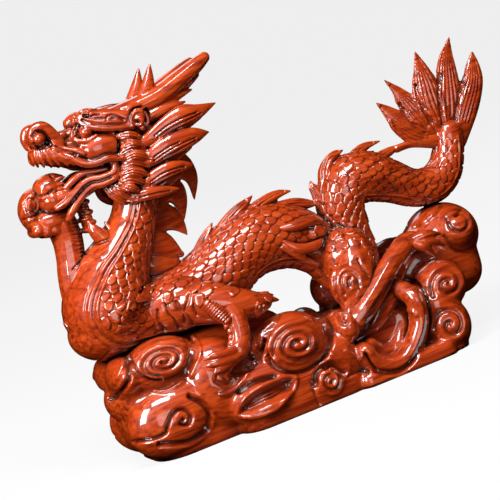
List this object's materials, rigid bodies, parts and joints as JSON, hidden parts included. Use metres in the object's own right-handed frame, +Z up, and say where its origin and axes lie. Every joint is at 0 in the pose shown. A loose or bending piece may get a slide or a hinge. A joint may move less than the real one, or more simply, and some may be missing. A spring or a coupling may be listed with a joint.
{
  "type": "dragon sculpture",
  "caption": "Dragon carved from one block of lacquered wood with its cloud plinth: arched scaled body, horned head, raised paw with a pearl, and a fanned tail fin.",
  "frame": {"origin": "point of the plinth's flat underside midway between front and back, under the highest part of the arched back", "axes": "+X from the head to the tail fin, +Z up, -Y towards the side that is carved in full"},
  "size_m": [0.4204, 0.132, 0.2968],
  "materials": {
    "lacquered_rosewood": "clear gloss lacquer"
  },
  "bodies": {
    "root": {"dragon_sculpture": "lacquered_rosewood"}
  },
  "joints": []
}
